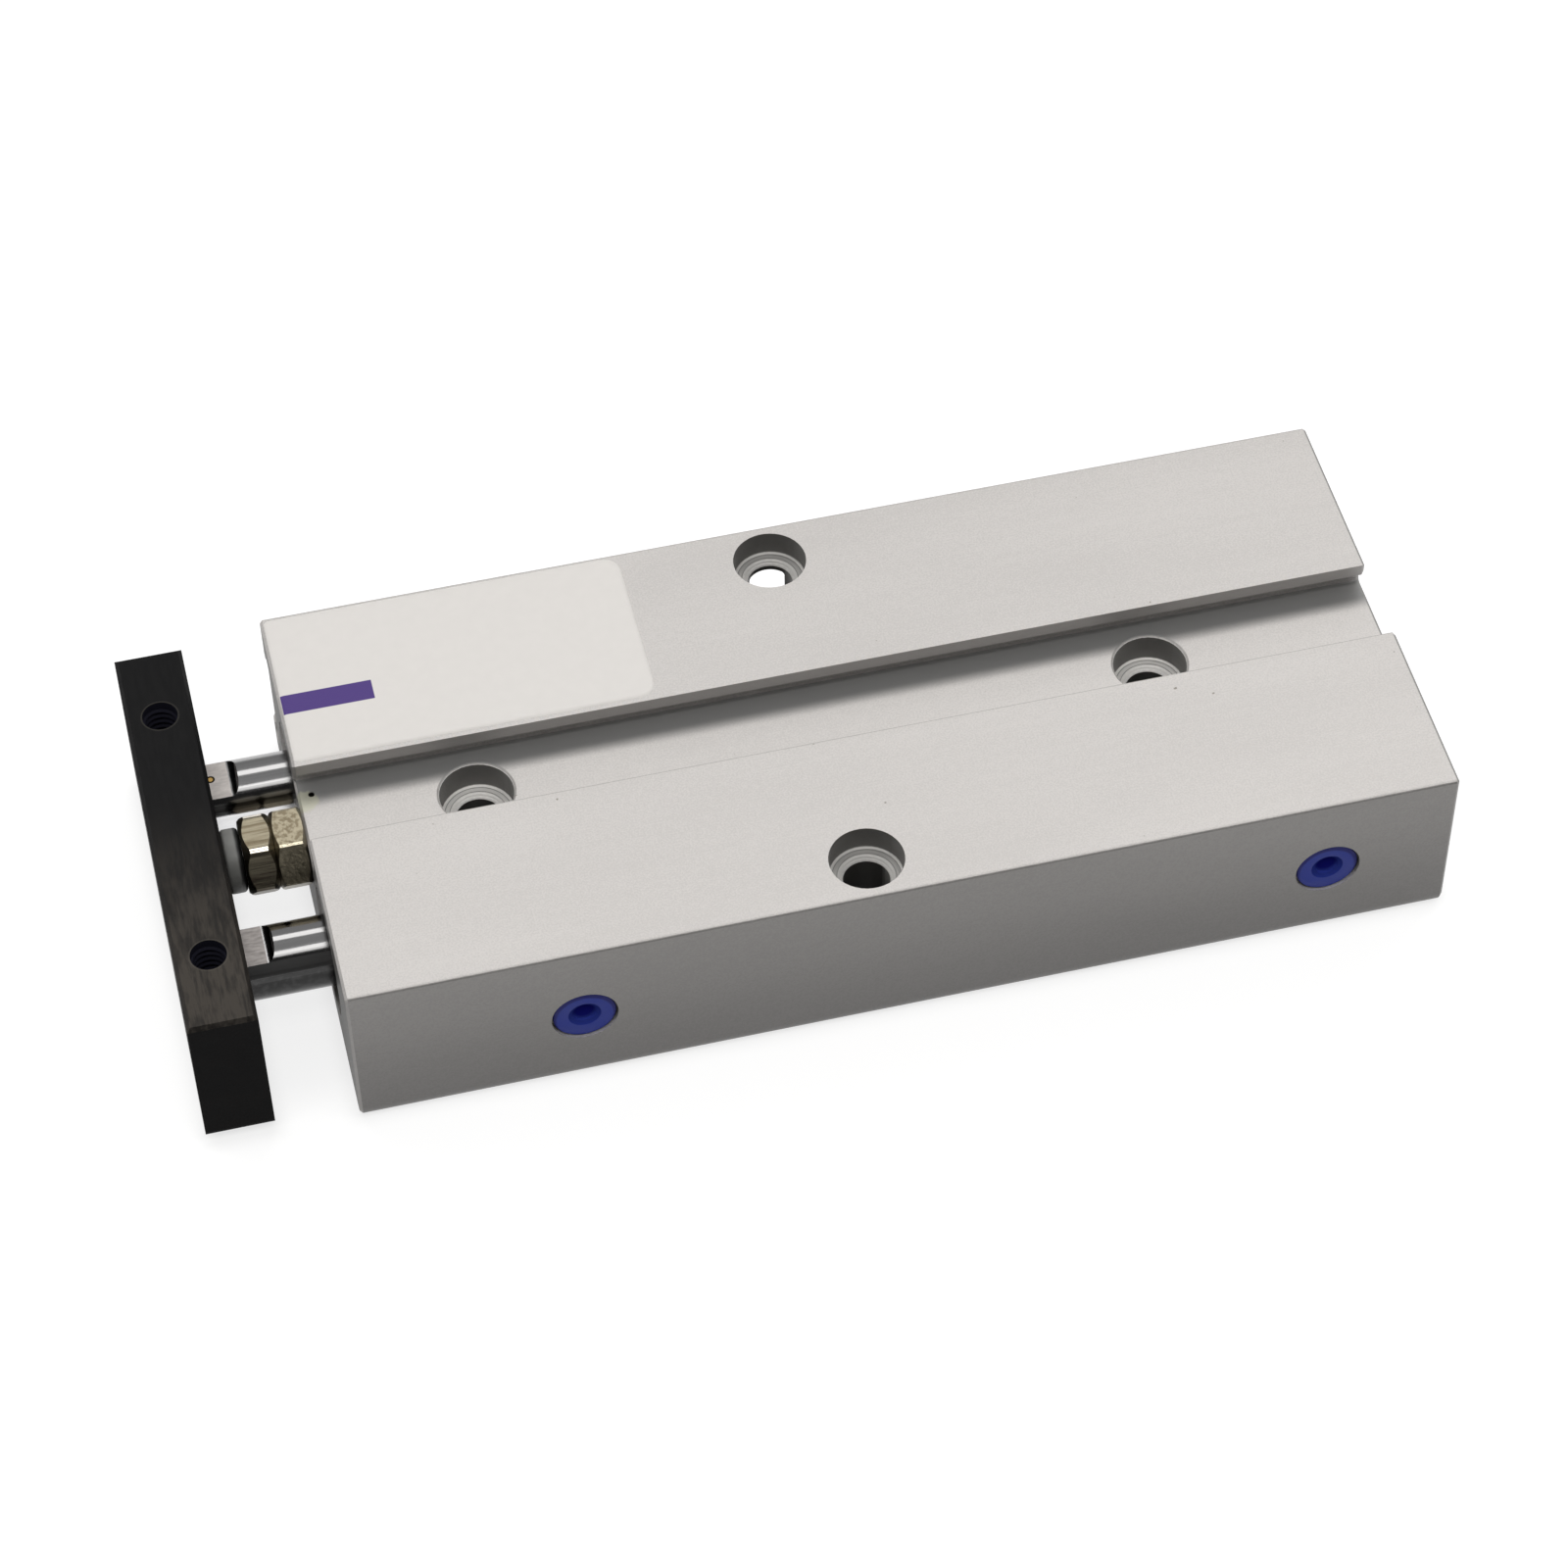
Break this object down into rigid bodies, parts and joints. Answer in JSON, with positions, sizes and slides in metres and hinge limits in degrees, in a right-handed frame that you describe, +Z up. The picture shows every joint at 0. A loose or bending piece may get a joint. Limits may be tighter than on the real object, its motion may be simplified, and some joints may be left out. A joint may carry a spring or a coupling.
{
  "type": "guided pneumatic cylinder",
  "caption": "Flat twin-rod guided pneumatic cylinder with an end plate, an adjustable retract stop, two sensor channels and side air ports.",
  "frame": {"origin": "on the base face, at the centre of the diamond of four mounting holes", "axes": "+X along the rods towards the rear end, so the rods extend towards -X; the air ports face -Y; +Z up out of the sensor channel"},
  "size_m": [0.1161, 0.046, 0.0181],
  "materials": {
    "bead_blasted_aluminium": "bead blasted and clear anodised, fine lengthwise grain",
    "black_anodised_aluminium": "black anodised, faint grain, worn edges",
    "machined_aluminium": "turned",
    "chromed_steel": "hard chromed and polished",
    "yellow_plated_nut": "yellow zinc plated",
    "zinc_plated_steel": "zinc plated",
    "spring_steel": "phosphated",
    "black_oxide_steel": "black oxide",
    "bronze": "sintered bronze",
    "seal_rubber": "moulded nitrile rubber",
    "grey_polymer": "cast polyurethane",
    "wear_ring_polymer": "acetal",
    "magnet": "bonded ferrite",
    "blue_plastic": "moulded polyethylene",
    "label_vinyl": "satin film with one plain violet bar"
  },
  "bodies": {
    "housing_body": {"housing": "bead_blasted_aluminium", "label": "label_vinyl", "stop_stud": "zinc_plated_steel", "stop_nuts": "yellow_plated_nut", "stop_bumper": "grey_polymer", "near_rod_cover": "machined_aluminium", "near_cover_seal": "seal_rubber", "near_rod_bushing": "bronze", "near_rod_seal": "seal_rubber", "near_cushion_ring": "seal_rubber", "near_rear_cover": "machined_aluminium", "near_rear_seal": "seal_rubber", "near_front_circlip": "spring_steel", "near_rear_circlip": "spring_steel", "far_rod_cover": "machined_aluminium", "far_cover_seal": "seal_rubber", "far_rod_bushing": "bronze", "far_rod_seal": "seal_rubber", "far_cushion_ring": "seal_rubber", "far_rear_cover": "machined_aluminium", "far_rear_seal": "seal_rubber", "far_front_circlip": "spring_steel", "far_rear_circlip": "spring_steel"},
    "rod_carriage": {"end_plate": "black_anodised_aluminium", "plate_screws": "black_oxide_steel", "piston_screws": "black_oxide_steel", "magnet_ring": "magnet", "near_rod": "chromed_steel", "near_piston": "machined_aluminium", "near_wear_ring": "wear_ring_polymer", "near_piston_seal": "seal_rubber", "far_rod": "chromed_steel", "far_piston": "machined_aluminium", "far_wear_ring": "wear_ring_polymer", "far_piston_seal": "seal_rubber"},
    "front_plug": {"front_port_plug": "blue_plastic"},
    "rear_plug": {"rear_port_plug": "blue_plastic"}
  },
  "joints": [
    {"name": "rod_stroke", "type": "slide", "parent": "housing_body", "child": "rod_carriage", "axis": [-1, 0, 0], "range_m": [0, 0.05]},
    {"name": "front_plug_pull", "type": "slide", "parent": "housing_body", "child": "front_plug", "axis": [0, -1, 0], "range_m": [0, 0.006]},
    {"name": "rear_plug_pull", "type": "slide", "parent": "housing_body", "child": "rear_plug", "axis": [0, -1, 0], "range_m": [0, 0.006]}
  ]
}
